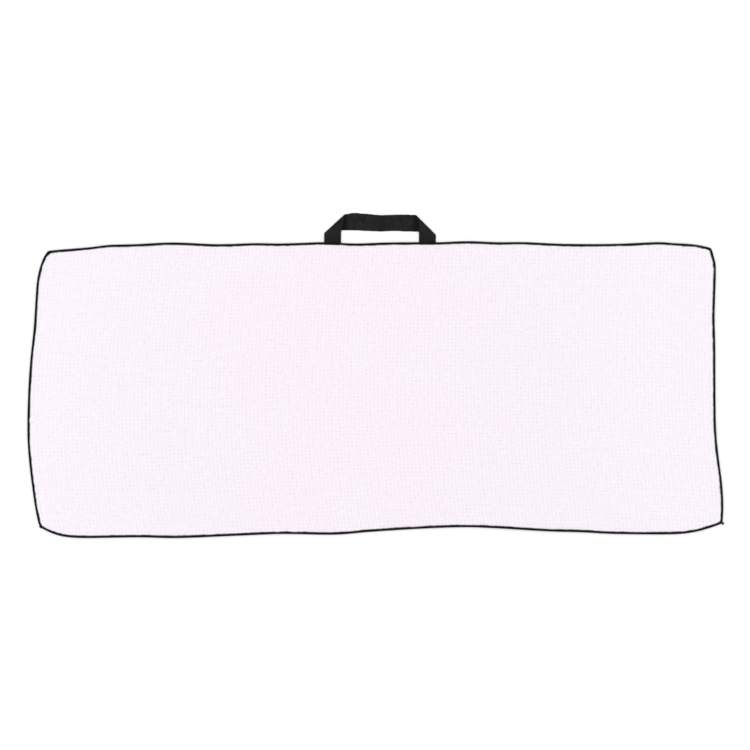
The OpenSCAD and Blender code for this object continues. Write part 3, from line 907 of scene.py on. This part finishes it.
def webbing_middle(a, w):
    """Where the middle surface lies, a along the strip and w across it towards the loop's inside or top."""
    first = a < WEB_TOTAL / 2
    # The right half is the mirror image of the left one, so both are worked out from their own sewn end
    b = np.where(first, a, WEB_TOTAL - a)
    past = b - (BAR_Y - TAIL_Y + w)
    offset, z = turned_over(past / math.sqrt(2) + FOLD_IN)
    # A fold moves the webbing along the line at right angles to its crease
    lift = (offset - FOLD_IN - past / math.sqrt(2)) / math.sqrt(2)
    x = np.where(first, LEFT_X + w - lift, RIGHT_X - w + lift)
    y = TAIL_Y + b + lift
    # Strays of the creases and of the bar's edges
    t = w / WEB_W + 0.5
    on_bar = smoothstep(past / ONTO_BAR)
    move = np.zeros((*x.shape, 2))
    for near, crease, reach in ((first, *CREASE_LEFT), (~first, *CREASE_RIGHT)):
        outer, inner = np.array(crease) * MM
        fade = np.where(past < 0, 1 + past / (reach * MM), 1 - past / STRAY_BAR).clip(0, 1) * near
        move += fade[..., None] * ((1 - t)[..., None] * outer + t[..., None] * inner)
    move[..., 1] += on_bar * ((1 - t) * soft_line(BAR_LOW, x) + t * soft_line(BAR_TOP, x))
    # The legs come down to the floor before they go under the cloth
    z -= np.where(past < 0, LAYER_Z * (1 - smoothstep((y - RAMP[0]) / (RAMP[1] - RAMP[0]))), 0)
    # Where the bar's top edge dips it stands a little off the floor
    z += on_bar * t * DIP_RISE * np.exp(-(((x - DIP_X) / DIP_RISE_W) ** 2))
    return np.dstack([x + move[..., 0], y + move[..., 1], z])


def bar_shade_share(x, a, w):
    """How strongly each place of the bar is painted with shade, from 0 to 1: beside the legs' inner edges
    and in the crease where its top edge dips.
    """
    t = w / WEB_W + 0.5
    share = DIP_PAINTED_SHADE * np.exp(-(((x - DIP_X) / DIP_SHADE_W) ** 2))
    legs = ((LEFT_X + WEB_W / 2, 1, LEG_SHADE_LEFT), (RIGHT_X - WEB_W / 2, -1, LEG_SHADE_RIGHT))
    for edge, away, (at_low, at_top, plateau) in legs:
        reach = ((1 - t) * at_low + t * at_top) * MM
        share = np.maximum(share, 1 - smoothstep(((x - edge) * away / reach - plateau) / (1 - plateau)))
    bar = np.minimum(a, WEB_TOTAL - a) > BAR_Y - TAIL_Y + w + FOLD_IN
    return share * bar


def build_webbing():
    n, m = round(WEB_TOTAL / WEB_STEP) + 1, round(WEB_W / WEB_STEP) + 1
    a, w = np.meshgrid(np.linspace(0, WEB_TOTAL, n), np.linspace(-WEB_W / 2, WEB_W / 2, m), indexing="ij")
    middle = webbing_middle(a, w)
    normal = unit(np.cross(np.gradient(middle, axis=1), np.gradient(middle, axis=0)))
    # The selvedges are rounded: the two faces draw together there
    edge = np.clip((WEB_W / 2 - np.abs(w)) / SELVEDGE, 0, 1)
    thick = WEBBING_T / 2 * (SELVEDGE_THIN + (1 - SELVEDGE_THIN) * np.sqrt(1 - (1 - edge) ** 2))
    points = np.concatenate([
        (middle + normal * thick[..., None]).reshape(-1, 3),
        (middle - normal * thick[..., None]).reshape(-1, 3),
    ])
    faces = with_walls(grid_quads(n, m), n * m)
    uv = np.stack([a.ravel(), w.ravel()], axis=1)
    # Painted shade on the bar, beside the legs and in the crease, kept as a point attribute for its material
    tucked = np.tile(bar_shade_share(middle[..., 0], a, w).ravel(), 2)
    piece = new_piece("hang_loop_webbing", points, faces, uv=np.tile(uv, (2, 1)),
                      attributes={"tucked": tucked}, normals=point_normals(points, faces))
    hinge = JOINTS["loop_flop"]
    start, end = ((0, hinge["pos_m"][1] + offset, 0) for offset in LOOP_BEND)
    replaced = ["strap_tail_left", "strap_tail_right", "strap_leg_left", "strap_leg_right", "strap_bar"]
    finish_piece(piece, (hinge["parent"], hinge["child"], start, end), webbing_look, replaced)


build_webbing()

# ------------------------------------------------------------------ stage

LENS, SENSOR = 85, 36                     # the camera's, in mm
VIEW_WIDTH = 1111.2 * MM                  # how much of the floor the picture spans
VIEW_MIDDLE = (-0.5 * MM, 1.1 * MM)
FAR = 100                                 # the camera sees this far
FLOOR_REACH, FLOOR_Z = 12.0, -0.05 * MM   # how far the floor goes from the towel, and its height
FLOOR_COLOUR = (0.92, 0.92, 0.92)
KEY_PLACE, KEY_SIZE, KEY_POWER = (-0.5, 0.9, 2.8), 1.8, 12
SKY_POWER = 1.09

camera_data = bpy.data.cameras.new("camera")
camera_data.lens, camera_data.sensor_width = LENS, SENSOR
camera_data.clip_end = FAR
camera = bpy.data.objects.new("camera", camera_data)
bpy.context.scene.collection.objects.link(camera)
camera.location = (*VIEW_MIDDLE, VIEW_WIDTH * LENS / SENSOR)
bpy.context.scene.camera = camera


def floor():
    r = FLOOR_REACH
    mesh = bpy.data.meshes.new("floor")
    mesh.from_pydata([(-r, -r, 0), (r, -r, 0), (r, r, 0), (-r, r, 0)], [], [(0, 1, 2, 3)])
    made = bpy.data.objects.new("floor", mesh)
    bpy.context.scene.collection.objects.link(made)
    made.location.z = FLOOR_Z
    mesh.materials.append(Look("pale_floor", FLOOR_COLOUR, rough=0.9, sheen=0.0).material)


floor()


def area_light(name, place, size, power):
    data = bpy.data.lights.new(name, "AREA")
    data.size, data.energy = size, power
    light = bpy.data.objects.new(name, data)
    bpy.context.scene.collection.objects.link(light)
    light.location = place
    light.rotation_euler = (-Vector(place)).to_track_quat("-Z", "Y").to_euler()


area_light("key", KEY_PLACE, KEY_SIZE, KEY_POWER)
world = bpy.data.worlds.new("studio")
bpy.context.scene.world = world
world.use_nodes = True
background = world.node_tree.nodes["Background"]
background.inputs["Color"].default_value = (1, 1, 1, 1)
background.inputs["Strength"].default_value = SKY_POWER
bpy.context.scene.view_settings.view_transform = "Standard"
